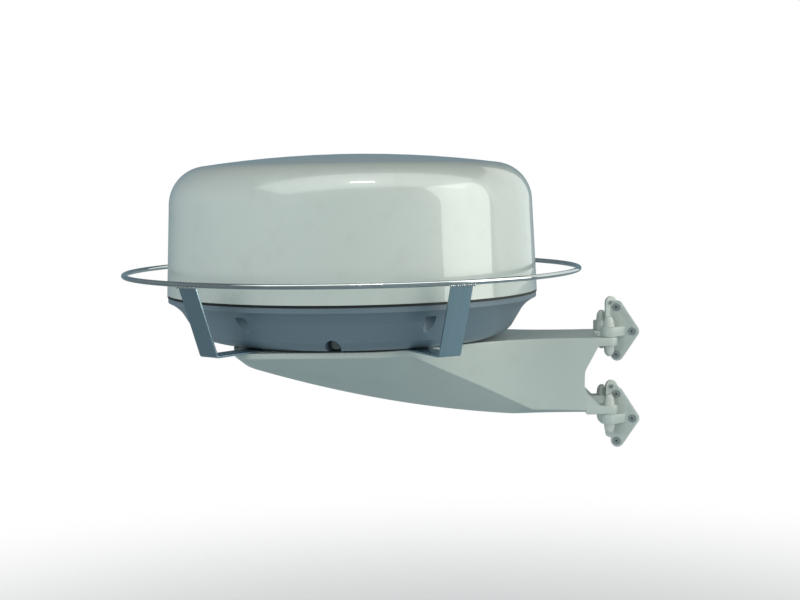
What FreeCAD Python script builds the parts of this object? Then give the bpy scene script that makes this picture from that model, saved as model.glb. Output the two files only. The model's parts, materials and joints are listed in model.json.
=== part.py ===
import FreeCAD, Part
import math
import os
import Sketcher

# Radar dome antenna on a cast mast bracket, with a stainless guard. Sizes in mm.
# Frame: origin on the mast's axis, midway between the upper and lower lug pairs.
# +Z is up, the arm runs towards -X, and -Y is the near side.

os.makedirs("parts", exist_ok=True)
doc = FreeCAD.newDocument("radar_dome_antenna")
sheet = doc.addObject("Spreadsheet::Sheet", "Dims")


class Size:
    """A number together with the spreadsheet expression that gives it."""

    def __init__(self, value, text):
        self.value = float(value)
        self.text = text

    def __add__(self, other):
        return Size(self.value + number(other), "(%s + %s)" % (self.text, words(other)))

    def __sub__(self, other):
        return Size(self.value - number(other), "(%s - %s)" % (self.text, words(other)))

    def __mul__(self, other):
        return Size(self.value * number(other), "(%s * %s)" % (self.text, words(other)))

    def __truediv__(self, other):
        return Size(self.value / number(other), "(%s / %s)" % (self.text, words(other)))

    def __radd__(self, other):
        return Size(number(other) + self.value, "(%s + %s)" % (words(other), self.text))

    def __rsub__(self, other):
        return Size(number(other) - self.value, "(%s - %s)" % (words(other), self.text))

    def __rmul__(self, other):
        return Size(number(other) * self.value, "(%s * %s)" % (words(other), self.text))

    def __neg__(self):
        return Size(-self.value, "(0 - %s)" % self.text)


def number(quantity):
    return quantity.value if isinstance(quantity, Size) else float(quantity)


def words(quantity):
    return quantity.text if isinstance(quantity, Size) else "(%s)" % repr(float(quantity))


sheet_rows = []


def size(alias, value, note):
    """Put one driving dimension in the sheet and hand it back."""
    sheet_rows.append(alias)
    row = len(sheet_rows)
    sheet.set("A%d" % row, str(value))
    sheet.set("B%d" % row, "'" + note)
    sheet.setAlias("A%d" % row, alias)
    return Size(value, "Dims.%s" % alias)


# Radome
dome_x = size("dome_x", -464, "dome axis from the mast axis")
dome_turn = size("dome_turn", -4.1, "dome and guard turned about the dome axis, degrees")
seal_z = size("seal_z", 139, "middle of the seal between cap and base")
seal_height = size("seal_height", 4, "seal thickness")
seal_radius = size("seal_radius", 304.8, "seal outer radius")
flange_inner = size("flange_inner", 268, "inner radius of the cap and base flanges")
cap_radius = size("cap_radius", 305, "cap radius at its rim")
cap_wall = size("cap_wall", 5, "cap wall thickness")
wall_top_radius = size("wall_top_radius", 298.5, "cap radius where the shoulder starts")
wall_top = size("wall_top", 144, "shoulder start above the seal")
shoulder_radius = size("shoulder_radius", 64, "shoulder rounding")
crown_angle = size("crown_angle", 8, "crown slope where it meets the shoulder, degrees")
base_bottom = size("base_bottom", 65.5, "underside of the radome base")
base_floor = size("base_floor", 5, "base floor thickness")
base_wall = size("base_wall", 5, "base wall thickness")
lip_radius = size("lip_radius", 303.8, "base lip radius")
lip_height = size("lip_height", 8, "base lip height below the seal")
flare_end_radius = size("flare_end_radius", 281, "radius where the flare ends")
flare_drop = size("flare_drop", 28, "flare end below the seal")
flare_curve = size("flare_curve", 60, "flare curvature")
side_foot_radius = size("side_foot_radius", 263, "radius where the bottom rounding starts")
side_foot_rise = size("side_foot_rise", 15.5, "height where the bottom rounding starts")
bottom_radius = size("bottom_radius", 228, "radius of the flat bottom")
bottom_curve = size("bottom_curve", 48, "bottom rounding")
screw_circle = size("screw_circle", 281, "cap screws' circle radius")
screw_turn = size("screw_turn", 1.4, "cap screws turned from the stud pattern, degrees")
pocket_radius = size("pocket_radius", 10.5, "cap screw pocket radius")
pocket_drop = size("pocket_drop", 20, "pocket ceiling below the seal")
screw_recess = size("screw_recess", 7, "depth of the screw seats above the pockets")
boss_radius = size("boss_radius", 15, "cap screw boss radius")
stud_half_x = size("stud_half_x", 73, "half of the 146 mm stud spacing")
stud_half_y = size("stud_half_y", 114.5, "half of the 229 mm stud spacing")
stud_radius = size("stud_radius", 4.9, "M10 mounting stud")
stud_hole = size("stud_hole", 5.5, "clearance hole for the studs")
drain_x = size("drain_x", 3, "drain valve off the middle, towards the mast")
gland_x = size("gland_x", 120, "cable gland from the dome axis, towards the mast")

# Guard
ring_radius = size("ring_radius", 374, "guard ring centreline radius")
ring_rod = size("ring_rod", 4, "guard ring rod radius")
ring_z = size("ring_z", 174, "guard ring height")
bend_radius = size("bend_radius", 333.5, "radius where a strap bends up into its leg")
strap_width = size("strap_width", 36, "guard strap width")
strap_thick = size("strap_thick", 3, "guard strap thickness")
bend_round = size("bend_round", 6, "outer rounding of the strap bends")

# Bracket
plate_top = size("plate_top", 62.5, "top face of the bracket")
lug_thick = size("lug_thick", 14, "lug and platform rim thickness")
lug_radius = size("lug_radius", 13.6, "lug end radius")
pin_x = size("pin_x", -45.7, "hinge pins from the mast axis")
pin_y = size("pin_y", 54.5, "hinge pins to each side")
pin_radius = size("pin_radius", 4, "M8 hinge bolt")
pin_fit = size("pin_fit", 0.05, "radial clearance on the hinge bolts")
shell_wall = size("shell_wall", 5, "casting wall")
shell_top = size("shell_top", 8, "casting top plate")

# Feet
foot_angle = size("foot_angle", 66, "foot plates' turn from facing the arm")
ear_thick = size("ear_thick", 15, "foot ear thickness")
ear_radius = size("ear_radius", 14, "foot ear end radius")
foot_gap = size("foot_gap", 1.2, "gap between lug and ear, filled by a washer")
foot_face = size("foot_face", 14.3, "pin axis to the foot plate's outer face")
foot_plate = size("foot_plate", 4, "foot plate thickness")
foot_corner = size("foot_corner", 10.5, "foot plate corner radius")
rivet_rise = size("rivet_rise", 38.7, "outer rivets above and below the ear's middle")
rivet_near = size("rivet_near", -8.3, "outer rivets along the plate")
rivet_far = size("rivet_far", -34.6, "middle rivet along the plate")
rivet_radius = size("rivet_radius", 3.2, "quarter inch rivet")
rivet_swell = size("rivet_swell", 3.6, "rivet radius where it fills the foot plate")
rivet_length = size("rivet_length", 10, "rivet shank past the plate")

# Scanner inside the dome
chassis_z = size("chassis_z", 100, "underside of the chassis plate")
chassis_thick = size("chassis_thick", 3, "chassis plate thickness")
shaft_radius = size("shaft_radius", 10, "antenna shaft radius")
shaft_bore = size("shaft_bore", 6.5, "antenna shaft bore radius")
bearing_radius = size("bearing_radius", 17.5, "bearing outer radius")
bearing_width = size("bearing_width", 10, "bearing width")
housing_top = size("housing_top", 172, "top of the bearing housing")
gear_z = size("gear_z", 178, "underside of the drive gear")
gear_width = size("gear_width", 10, "drive gear width")
gear_module = size("gear_module", 1.25, "gear module")
gear_teeth = size("gear_teeth", 72, "drive gear teeth")
pinion_teeth = size("pinion_teeth", 16, "motor pinion teeth")
array_length = size("array_length", 530, "antenna array length")
array_height = size("array_height", 60, "antenna array height")
array_z = size("array_z", 214, "underside of the antenna array")

# Bracket hull, by distance out from the mast axis
hull_start = size("hull_start", 62, "mast end of the hull")
hull_end = size("hull_end", 652, "outer end of the hull")
arm_end = size("arm_end", 110, "where the arm starts to widen into the platform")
wide_start = size("wide_start", 440, "where the platform reaches its full width")
round_start = size("round_start", 600, "where the platform's outer corners start")
arm_half = size("arm_half", 68, "arm half width at the mast")
arm_flare = size("arm_flare", 1.25, "how late the arm widens")
rim_thick = size("rim_thick", 8.3, "rim thickness round the platform")
wide_half = size("wide_half", 226, "platform half width")
rim_inset = size("rim_inset", 4, "step from the platform rim in to the underside")
keel_drop = size("keel_drop", -62.5, "keel height at the mast end")
keel_start = size("keel_start", 190, "where the keel starts to rise")
keel_power = size("keel_power", 1.75, "keel curve exponent")
keel_rise = size("keel_rise", 34.7, "keel rise 280 mm further out")
nose_start = size("nose_start", 620, "where the keel turns up into the nose")
nose_lift = size("nose_lift", 8, "extra keel rise at the nose")
chine_start = size("chine_start", 172, "where the crease leaves the bottom edge")
chine_drop = size("chine_drop", -53, "crease height there")
chine_slope = size("chine_slope", 0.55, "crease rise per mm")
doc.recompute()

SEAL_TOP = seal_z + seal_height / 2
SEAL_BOTTOM = seal_z - seal_height / 2
LUG_BOTTOM = plate_top - lug_thick
FLOOR_TOP = base_bottom + base_floor
CHASSIS_TOP = chassis_z + chassis_thick
CORNERS = ((1, 1), (-1, 1), (-1, -1), (1, -1))
GEAR_CENTRES = gear_module * (gear_teeth + pinion_teeth) / 2
STUD_RADIUS_OUT = math.hypot(stud_half_x.value, stud_half_y.value)
STUD_ANGLE = math.degrees(math.atan2(stud_half_x.value, stud_half_y.value))


def bind(obj, prop, quantity):
    obj.setExpression(prop, words(quantity))


def place(obj, x=0.0, y=0.0, z=0.0):
    """Move an object, with its position driven by the sheet."""
    for axis, quantity in (("x", x), ("y", y), ("z", z)):
        bind(obj, "Placement.Base.%s" % axis, quantity)
    return obj


def cylinder(name, radius, height, x=0.0, y=0.0, z=0.0, direction=None):
    obj = doc.addObject("Part::Cylinder", name)
    bind(obj, "Radius", radius)
    bind(obj, "Height", height)
    if direction:
        turn = FreeCAD.Rotation(FreeCAD.Vector(0, 0, 1), FreeCAD.Vector(*direction))
        obj.Placement = FreeCAD.Placement(FreeCAD.Vector(), turn)
    return place(obj, x, y, z)


def box(name, length, width, height, x, y, z):
    """A box centred on x and y, standing on z."""
    obj = doc.addObject("Part::Box", name)
    bind(obj, "Length", length)
    bind(obj, "Width", width)
    bind(obj, "Height", height)
    return place(obj, x - length / 2, y - width / 2, z)


def hexagon(name, flats, height, x, y, z):
    obj = doc.addObject("Part::Prism", name)
    obj.Polygon = 6
    bind(obj, "Circumradius", flats / math.sqrt(3))
    bind(obj, "Height", height)
    return place(obj, x, y, z)


def fuse(name, shapes):
    obj = doc.addObject("Part::MultiFuse", name)
    obj.Shapes = shapes
    return obj


def cut(name, base, tools):
    obj = doc.addObject("Part::Cut", name)
    obj.Base = base
    obj.Tool = tools[0] if len(tools) == 1 else fuse(name + "_tools", tools)
    return obj


def group(name, members):
    obj = doc.addObject("Part::Compound", name)
    obj.Links = members
    return obj


def arc_between(start, end, radius):
    """Arc from start to end; a positive radius turns left, a negative one right."""
    half = (end - start) * 0.5
    side = FreeCAD.Vector(-half.y, half.x, 0).normalize()
    rise = math.sqrt(radius * radius - half.Length * half.Length)
    centre = start + half + side * math.copysign(rise, radius)
    first, last = (start, end) if radius > 0 else (end, start)
    begin = math.atan2(first.y - centre.y, first.x - centre.x)
    finish = math.atan2(last.y - centre.y, last.x - centre.x)
    circle = Part.Circle(centre, FreeCAD.Vector(0, 0, 1), abs(radius))
    return Part.ArcOfCircle(circle, begin, finish if finish > begin else finish + 2 * math.pi)


def outline(sketch, corners, arcs=None):
    """Closed outline through the corners; arcs gives the signed radius of a curved side."""
    arcs = arcs or {}
    points = [FreeCAD.Vector(number(x), number(y), 0) for x, y in corners]
    ends = []
    for side, start in enumerate(points):
        end = points[(side + 1) % len(points)]
        if side in arcs:
            geometry = sketch.addGeometry(arc_between(start, end, number(arcs[side])), False)
            ends.append((geometry, 1, 2) if number(arcs[side]) > 0 else (geometry, 2, 1))
            rule = sketch.addConstraint(Sketcher.Constraint("Radius", geometry, abs(number(arcs[side]))))
            radius = arcs[side] if number(arcs[side]) > 0 else -arcs[side]
            sketch.setExpression("Constraints[%d]" % rule, words(radius))
        else:
            geometry = sketch.addGeometry(Part.LineSegment(start, end), False)
            ends.append((geometry, 1, 2))
    for side, (geometry, first, last) in enumerate(ends):
        follower = ends[(side + 1) % len(ends)]
        sketch.addConstraint(Sketcher.Constraint("Coincident", geometry, last, follower[0], follower[1]))
        for kind, quantity in zip(("DistanceX", "DistanceY"), corners[side]):
            rule = sketch.addConstraint(
                Sketcher.Constraint(kind, -1, 1, geometry, first, number(quantity))
            )
            sketch.setExpression("Constraints[%d]" % rule, words(quantity))


def new_body(name):
    return doc.addObject("PartDesign::Body", name)


def new_sketch(body, name, plane, height=0.0):
    sketch = body.newObject("Sketcher::SketchObject", name)
    origin = [item for item in body.Origin.OriginFeatures if item.Role == plane][0]
    sketch.AttachmentSupport = [(origin, "")]
    sketch.MapMode = "FlatFace"
    bind(sketch, "AttachmentOffset.Base.z", height)
    return sketch


def turned(name, corners, arcs=None):
    """Body turned about the vertical axis from a profile of radius and height."""
    body = new_body(name)
    sketch = new_sketch(body, name + "_profile", "XZ_Plane")
    outline(sketch, corners, arcs)
    feature = body.newObject("PartDesign::Revolution", name + "_turn")
    feature.Profile = sketch
    feature.ReferenceAxis = (sketch, ["V_Axis"])
    feature.Angle = 360
    body.Tip = feature
    doc.recompute()
    return body


def padded(name, plane, corners, length, arcs=None, height=0.0, middle=False):
    """Body extruded from an outline on one of its own planes."""
    body = new_body(name)
    sketch = new_sketch(body, name + "_outline", plane, height)
    outline(sketch, corners, arcs)
    feature = body.newObject("PartDesign::Pad", name + "_pad")
    feature.Profile = sketch
    feature.Midplane = middle
    bind(feature, "Length", length)
    body.Tip = feature
    doc.recompute()
    return body


def on_circle(radius, count, first=0.0):
    """Points evenly spaced on a circle about the origin."""
    for step in range(count):
        angle = math.radians(first + 360.0 * step / count)
        yield radius * math.cos(angle), radius * math.sin(angle)


nodes = []


def keep(obj, name):
    """Make an object one of the sub-parts under its own name."""
    obj.Label = name
    nodes.append(obj)
    return obj


def keep_on_dome(obj, name):
    """A sub-part modelled about the dome's axis, moved and turned with the dome."""
    bind(obj, "Placement.Base.x", dome_x)
    obj.setExpression("Placement.Rotation.Angle", words(dome_turn))
    obj.Placement.Rotation.Axis = FreeCAD.Vector(0, 0, 1)
    return keep(obj, name)


# ---------------------------------------------------------------- radome shell

CROWN_SIN = Size(math.sin(math.radians(crown_angle.value)), "sin(%s)" % crown_angle.text)
CROWN_COS = Size(math.cos(math.radians(crown_angle.value)), "cos(%s)" % crown_angle.text)


def cap_profile():
    """Wall, shoulder and crown; the crown's centre lies on the dome's axis."""
    shoulder_x = wall_top_radius - shoulder_radius
    shoulder_z = SEAL_TOP + wall_top
    inner_round = shoulder_radius - cap_wall
    outer_edge = (shoulder_x + shoulder_radius * CROWN_SIN, shoulder_z + shoulder_radius * CROWN_COS)
    inner_edge = (shoulder_x + inner_round * CROWN_SIN, shoulder_z + inner_round * CROWN_COS)
    crown_radius = outer_edge[0] / CROWN_SIN
    crown_inside = inner_edge[0] / CROWN_SIN
    corners = [
        (flange_inner + 4, SEAL_TOP),
        (cap_radius, SEAL_TOP),
        (wall_top_radius, shoulder_z),
        outer_edge,
        (0.0, outer_edge[1] + crown_radius * (1 - CROWN_COS)),
        (0.0, inner_edge[1] + crown_inside * (1 - CROWN_COS)),
        inner_edge,
        (wall_top_radius - cap_wall, shoulder_z),
        (cap_radius - cap_wall, SEAL_TOP + 8),
        (flange_inner + 4, SEAL_TOP + 8),
    ]
    arcs = {2: shoulder_radius, 3: crown_radius, 5: -crown_inside, 6: -inner_round}
    return corners, arcs


def make_cap():
    corners, arcs = cap_profile()
    shell = turned("cap_shell", corners, arcs)
    bosses = []
    holes = []
    for index, (x, y) in enumerate(on_circle(screw_circle, 6, screw_turn.value)):
        boss = cylinder("cap_boss_%d" % index, 9.0, 26.0, x, y, SEAL_TOP)
        web = doc.addObject("Part::Box", "cap_web_%d" % index)
        bind(web, "Length", cap_radius - screw_circle - cap_wall + 2)
        web.Width = 8
        web.Height = 24
        turn = FreeCAD.Rotation(FreeCAD.Vector(0, 0, 1), screw_turn.value + 60.0 * index)
        start = turn.multVec(FreeCAD.Vector(screw_circle.value, -4, SEAL_TOP.value))
        web.Placement = FreeCAD.Placement(start, turn)
        bosses += [boss, web]
        holes.append(cylinder("cap_hole_%d" % index, 5.0, 20.0, x, y, SEAL_TOP - 2))
    keep_on_dome(cut("cap", fuse("cap_bossed", [shell] + bosses), holes), "radome_cap")


def base_outer():
    """Outside profile of the base, from the rim down to the middle of its floor."""
    return [
        (lip_radius, SEAL_BOTTOM),
        (lip_radius, SEAL_BOTTOM - lip_height),
        (flare_end_radius, seal_z - flare_drop),
        (side_foot_radius, base_bottom + side_foot_rise),
        (bottom_radius, base_bottom),
        (0.0, base_bottom),
    ]


def make_base():
    outer = base_outer()
    inner = [
        (0.0, FLOOR_TOP),
        (bottom_radius - 2, FLOOR_TOP),
        (side_foot_radius - base_wall, base_bottom + side_foot_rise + 2),
        (flange_inner + 1, seal_z - flare_drop + 2),
        (flange_inner, SEAL_BOTTOM - 6),
        (flange_inner, SEAL_BOTTOM),
    ]
    curves = {1: flare_curve, 3: -bottom_curve}
    shell = turned("base_shell", outer + inner, curves)
    envelope = turned("base_envelope", outer + [(0.0, SEAL_BOTTOM)], curves)
    bosses = []
    holes = []
    for index, (x, y) in enumerate(on_circle(screw_circle, 6, screw_turn.value)):
        bosses.append(
            cylinder("base_boss_%d" % index, boss_radius, SEAL_BOTTOM - FLOOR_TOP, x, y, FLOOR_TOP)
        )
        holes.append(
            cylinder("pocket_%d" % index, pocket_radius, seal_z - pocket_drop - 40, x, y, 40.0)
        )
        holes.append(cylinder("screw_way_%d" % index, 3.3, 80.0, x, y, 90.0))
        holes.append(
            cylinder("screw_seat_%d" % index, 5.7, 10 + screw_recess, x, y, seal_z - pocket_drop - 10)
        )
    bosses.append(box("notch_block", 44.0, 56.0, 28.0, drain_x, -(bottom_radius - 2), base_bottom))
    for index, (side_x, side_y) in enumerate(CORNERS):
        x = stud_half_x * side_x
        y = stud_half_y * side_y
        bosses.append(cylinder("stud_boss_%d" % index, 16.0, 15.0, x, y, base_bottom))
        holes.append(cylinder("stud_way_%d" % index, stud_hole, 30.0, x, y, base_bottom - 5))
        post = cylinder(
            "chassis_post_%d" % index, 8.0, chassis_z - base_bottom, 128.0 * side_x, 78.0 * side_y,
            base_bottom
        )
        bosses.append(post)
        holes.append(
            cylinder("post_hole_%d" % index, 2.1, 14.0, 128.0 * side_x, 78.0 * side_y, chassis_z - 12)
        )
    inside = doc.addObject("Part::Common", "bosses_trimmed")
    inside.Base = envelope
    inside.Tool = fuse("base_bosses", bosses)
    holes.append(
        cylinder("notch", 12.0, 60.0, drain_x, -(bottom_radius - 22), base_bottom + 8, (0, -1, 0))
    )
    holes.append(cylinder("gland_way", 12.5, 30.0, gland_x, 0.0, base_bottom - 5))
    holes.append(
        cylinder("valve_way", 4.1, 60.0, drain_x, -(bottom_radius - 62), base_bottom + 12, (0, -1, 0))
    )
    keep_on_dome(cut("base", fuse("base_bossed", [shell, inside]), holes), "radome_base")


def make_seal():
    ring = turned(
        "seal_ring",
        [
            (flange_inner + 4, SEAL_BOTTOM),
            (seal_radius, SEAL_BOTTOM),
            (seal_radius, SEAL_TOP),
            (flange_inner + 4, SEAL_TOP),
        ],
    )
    ways = [
        cylinder("seal_way_%d" % index, 3.6, 20.0, x, y, SEAL_BOTTOM - 5)
        for index, (x, y) in enumerate(on_circle(screw_circle, 6, screw_turn.value))
    ]
    keep_on_dome(cut("seal", ring, ways), "seal_gasket")


def make_cap_screws():
    screws = []
    inserts = []
    seat = seal_z - pocket_drop + screw_recess
    for index, (x, y) in enumerate(on_circle(screw_circle, 6, screw_turn.value)):
        head = cylinder("screw_head_%d" % index, 5.0, 5.0, x, y, seat - 5)
        shank = cylinder("screw_shank_%d" % index, 2.9, pocket_drop - screw_recess + 18, x, y, seat)
        socket = hexagon("screw_socket_%d" % index, 5.0, 3.0, x, y, seat - 5)
        screws.append(cut("cap_screw_%d" % index, fuse("screw_%d" % index, [head, shank]), [socket]))
        sleeve = cylinder("sleeve_%d" % index, 4.95, 17.0, x, y, SEAL_TOP + 0.5)
        thread = cylinder("thread_%d" % index, 3.0, 30.0, x, y, SEAL_TOP - 5)
        inserts.append(cut("cap_insert_%d" % index, sleeve, [thread]))
    keep_on_dome(group("screw_group", screws), "cap_screws")
    keep_on_dome(group("insert_group", inserts), "cap_inserts")


def make_base_fittings():
    middle = base_bottom + 12
    barrel = cylinder("valve_barrel", 8.0, 9.0, drain_x, -(bottom_radius - 21.5), middle - 3, (0, -1, 0))
    stem = cylinder("valve_stem", 4.0, 40.0, drain_x, -(bottom_radius - 61), middle, (0, -1, 0))
    slot = box("valve_slot", 12.0, 3.0, 2.0, drain_x, -(bottom_radius - 12), middle - 5)
    keep_on_dome(cut("valve", fuse("valve_solid", [barrel, stem]), [slot]), "drain_valve")

    stem = cylinder("gland_stem", 12.0, 18.0, gland_x, 0.0, base_bottom - 2)
    hexes = hexagon("gland_hex", 29.0, 7.0, gland_x, 0.0, base_bottom - 7)
    nose = cylinder("gland_nose", 12.5, 16.0, gland_x, 0.0, base_bottom - 23)
    way = cylinder("gland_bore", 6.0, 60.0, gland_x, 0.0, base_bottom - 30)
    keep_on_dome(cut("gland", fuse("gland_solid", [stem, hexes, nose]), [way]), "cable_gland")

    nut = hexagon("locknut_hex", 30.0, 5.0, gland_x, 0.0, FLOOR_TOP)
    way = cylinder("locknut_way", 12.05, 20.0, gland_x, 0.0, FLOOR_TOP - 5)
    keep_on_dome(cut("locknut", nut, [way]), "gland_locknut")


def make_studs():
    studs = []
    nuts = []
    washers = []
    boss_top = base_bottom + 15
    for index, (side_x, side_y) in enumerate(CORNERS):
        x = stud_half_x * side_x
        y = stud_half_y * side_y
        studs.append(cylinder("stud_%d" % index, stud_radius, 58.0, x, y, plate_top - 21))
        disc = cylinder("seal_disc_%d" % index, 12.0, 2.5, x, y, boss_top)
        way = cylinder("seal_disc_way_%d" % index, 5.0, 10.0, x, y, boss_top - 3)
        washers.append(cut("seal_washer_%d" % index, disc, [way]))
        body = hexagon("nut_hex_%d" % index, 17.0, 8.0, x, y, boss_top + 2.5)
        way = cylinder("nut_way_%d" % index, 4.95, 20.0, x, y, boss_top - 3)
        nuts.append(cut("stud_nut_%d" % index, body, [way]))
    keep_on_dome(group("stud_group", studs), "mounting_studs")
    keep_on_dome(group("nut_group", nuts), "stud_nuts")
    keep_on_dome(group("washer_group", washers), "seal_washers")


# ---------------------------------------------------------------- guard

def turned_about_z(angle):
    return FreeCAD.Placement(FreeCAD.Vector(), FreeCAD.Rotation(FreeCAD.Vector(0, 0, 1), angle))


def make_strap(name, angle):
    """One bent bar: a leg up to the ring, a run under the dome and a leg on the far side."""
    low = plate_top
    top = ring_z - ring_rod
    rise = (top - low).value
    run = (ring_radius - bend_radius).value
    leg = math.hypot(rise, run)
    along_x = run / leg
    along_z = rise / leg
    setback = bend_round * math.tan(math.atan2(rise, run) / 2)
    inner_round = bend_round - strap_thick
    foot = bend_radius - setback
    knee = (bend_radius + setback * along_x, low + setback * along_z)
    inner_knee = (knee[0] - strap_thick * along_z, knee[1] + strap_thick * along_x)
    inner_top = ring_radius - strap_thick / along_z
    corners = [
        (-ring_radius, top),
        (-knee[0], knee[1]),
        (-foot, low),
        (foot, low),
        knee,
        (ring_radius, top),
        (inner_top, top),
        inner_knee,
        (foot, low + strap_thick),
        (-foot, low + strap_thick),
        (-inner_knee[0], inner_knee[1]),
        (-inner_top, top),
    ]
    arcs = {1: bend_round, 3: bend_round, 7: -inner_round, 9: -inner_round}
    body = padded(name + "_bar", "XZ_Plane", corners, strap_width, arcs, middle=True)
    holes = [
        cylinder("%s_hole_%d" % (name, side), stud_hole, 20.0, side * STUD_RADIUS_OUT, 0.0, low - 8)
        for side in (-1, 1)
    ]
    strap = cut(name + "_drilled", body, holes)
    strap.Placement = turned_about_z(angle)
    return strap


def make_guard():
    ring = doc.addObject("Part::Torus", "ring")
    bind(ring, "Radius1", ring_radius)
    bind(ring, "Radius2", ring_rod)
    bind(ring, "Placement.Base.z", ring_z)
    bind(ring, "Placement.Base.x", dome_x)
    keep(ring, "guard_ring")
    whole = make_strap("long_strap", 90.0 - STUD_ANGLE)
    crossing = make_strap("cross_strap", 90.0 + STUD_ANGLE)
    middle = box("crossing_box", 120.0, strap_width, 20.0, 0.0, 0.0, plate_top - 5)
    crossed = group("crossed_strap", [middle])
    crossed.Placement = turned_about_z(90.0 - STUD_ANGLE)
    keep_on_dome(group("long_strap_group", [whole]), "guard_strap_long")
    keep_on_dome(cut("cross_strap_halves", crossing, [crossed]), "guard_strap_halves")


# ---------------------------------------------------------------- bracket

def hull_section(x):
    """Half widths and heights of the rim, crease and keel at one place along the arm."""
    widened = max(0.0, min(1.0, (x - arm_end.value) / (wide_start.value - arm_end.value)))
    spread = (1 - math.cos(math.pi * widened ** arm_flare.value)) / 2
    rounded = max(0.0, (x - round_start.value) / (hull_end.value + 0.2 - round_start.value))
    top_half = (arm_half.value + (wide_half - arm_half).value * spread) * math.sqrt(1 - rounded ** 3)
    beyond = x - chine_start.value
    slope = chine_slope.value if beyond > 0 else chine_slope.value / 14
    rim_z = LUG_BOTTOM.value + (lug_thick - rim_thick).value * widened
    chine_z = min(rim_z - 2, chine_drop.value + slope * beyond)
    inset = rim_inset.value * max(0.0, min(1.0, (chine_z - 20) / 25))
    rise = max(0.0, (x - keel_start.value) / 280)
    nose = max(0.0, (x - nose_start.value) / (hull_end.value - nose_start.value))
    keel_z = keel_drop.value + keel_rise.value * rise ** keel_power.value + nose_lift.value * nose ** 3
    keel_half = 28 + 30 * math.exp(-beyond / 90) if beyond > 0 else 58 - beyond * 0.04
    keel_half = min(keel_half, top_half * 0.6)
    return top_half, rim_z, top_half - inset, chine_z, keel_half, keel_z


def station_wire(x, inside):
    """Closed section of the bracket, or of the hollow inside it."""
    top_half, rim, chine_half, chine_z, keel_half, keel_z = hull_section(x)
    top = plate_top.value
    wall = 0.0
    if inside:
        wall = shell_wall.value
        top -= shell_top.value
        rim = top - 1.0
        chine_z = min(rim - 1.0, chine_z + wall * 0.8)
        keel_z += wall
        keel_half -= wall * 0.4
    half = [
        (top_half - wall, top),
        (top_half - wall, rim),
        (chine_half - wall, chine_z),
        (keel_half, keel_z),
    ]
    points = [FreeCAD.Vector(-x, -y, z) for y, z in half]
    points += [FreeCAD.Vector(-x, y, z) for y, z in reversed(half)]
    return Part.makePolygon(points + points[:1])


def make_hull(name, start, end, inside):
    count = 22
    span = end - start
    stations = [start + span * step / count for step in range(count)]
    # Closer stations round the outer end.
    stations += [start + span * (1 - 0.5 ** step / count) for step in (1, 2, 3)]
    wires = [station_wire(x, inside) for x in stations + [end]]
    if inside:
        mouth = wires[0].copy()
        mouth.translate(FreeCAD.Vector(40, 0, 0))
        wires = [mouth] + wires
    obj = doc.addObject("Part::Feature", name)
    obj.Shape = Part.makeLoft(wires, True, True)
    return obj


def make_bracket():
    shell = make_hull("hull", hull_start.value, hull_end.value, False)
    hollow = make_hull("hull_hollow", hull_start.value, hull_end.value - 12, True)
    solid = cut("hull_shell", shell, [hollow])
    added = [solid]
    removed = []
    turn = math.radians(dome_turn.value)
    for index, (side_x, side_y) in enumerate(CORNERS):
        local_x = stud_half_x.value * side_x
        local_y = stud_half_y.value * side_y
        x = dome_x.value + local_x * math.cos(turn) - local_y * math.sin(turn)
        y = local_x * math.sin(turn) + local_y * math.cos(turn)
        added.append(cylinder("casting_boss_%d" % index, 13.0, 24.0, x, y, plate_top - 24))
        removed.append(cylinder("stud_thread_%d" % index, 5.0, 24.0, x, y, plate_top - 22))
    for level, z in (("upper", LUG_BOTTOM), ("lower", -plate_top)):
        for side in (-1, 1):
            name = "%s_lug_%s" % (level, "near" if side < 0 else "far")
            root = box(
                name + "_root", pin_x + 84, lug_radius * 2, lug_thick, (pin_x - 84) / 2, pin_y * side, z
            )
            added += [root, cylinder(name + "_end", lug_radius, lug_thick, pin_x, pin_y * side, z)]
            removed.append(
                cylinder(name + "_bore", pin_radius + pin_fit, 30.0, pin_x, pin_y * side, z - 5)
            )
    scoop = padded(
        "scoop",
        "XZ_Plane",
        [
            (-30.0, LUG_BOTTOM),
            (-64.0, LUG_BOTTOM),
            (-86.0, 8.0),
            (-87.0, -23.0),
            (-62.0, -LUG_BOTTOM),
            (-30.0, -LUG_BOTTOM),
        ],
        300.0,
        arcs={2: 26.0},
        middle=True,
    )
    removed.append(scoop)
    cable_x = dome_x.value + gland_x.value * math.cos(turn)
    cable_y = gland_x.value * math.sin(turn)
    removed.append(cylinder("cable_way", 27.0, 30.0, cable_x, cable_y, plate_top - 20))
    keep(cut("bracket", fuse("bracket_solid", added), removed), "bracket_arm")


def hinge_places():
    """Each hinge's name, side, and level: +1 above the upper lug, -1 below the lower lug."""
    for level_name, level in (("upper", 1), ("lower", -1)):
        for side_name, side in (("near", -1), ("far", 1)):
            yield "%s_%s" % (level_name, side_name), side, level


def cap_shape(name, x, y, z, up):
    """Domed plastic cap that covers a bolt head or nut."""
    shell = turned(
        name + "_shell",
        [(0.0, 0.0), (9.0, 0.0), (7.9, 9.0), (2.5, 17.5), (0.0, 17.5)],
        {2: 11.5},
    )
    room = cylinder(name + "_room", 7.75, 7.4, 0.0, 0.0, -1.0)
    obj = cut(name, shell, [room])
    turn = FreeCAD.Rotation() if up else FreeCAD.Rotation(FreeCAD.Vector(1, 0, 0), 180)
    obj.Placement = FreeCAD.Placement(FreeCAD.Vector(), turn)
    return place(obj, x, y, z)


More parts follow.
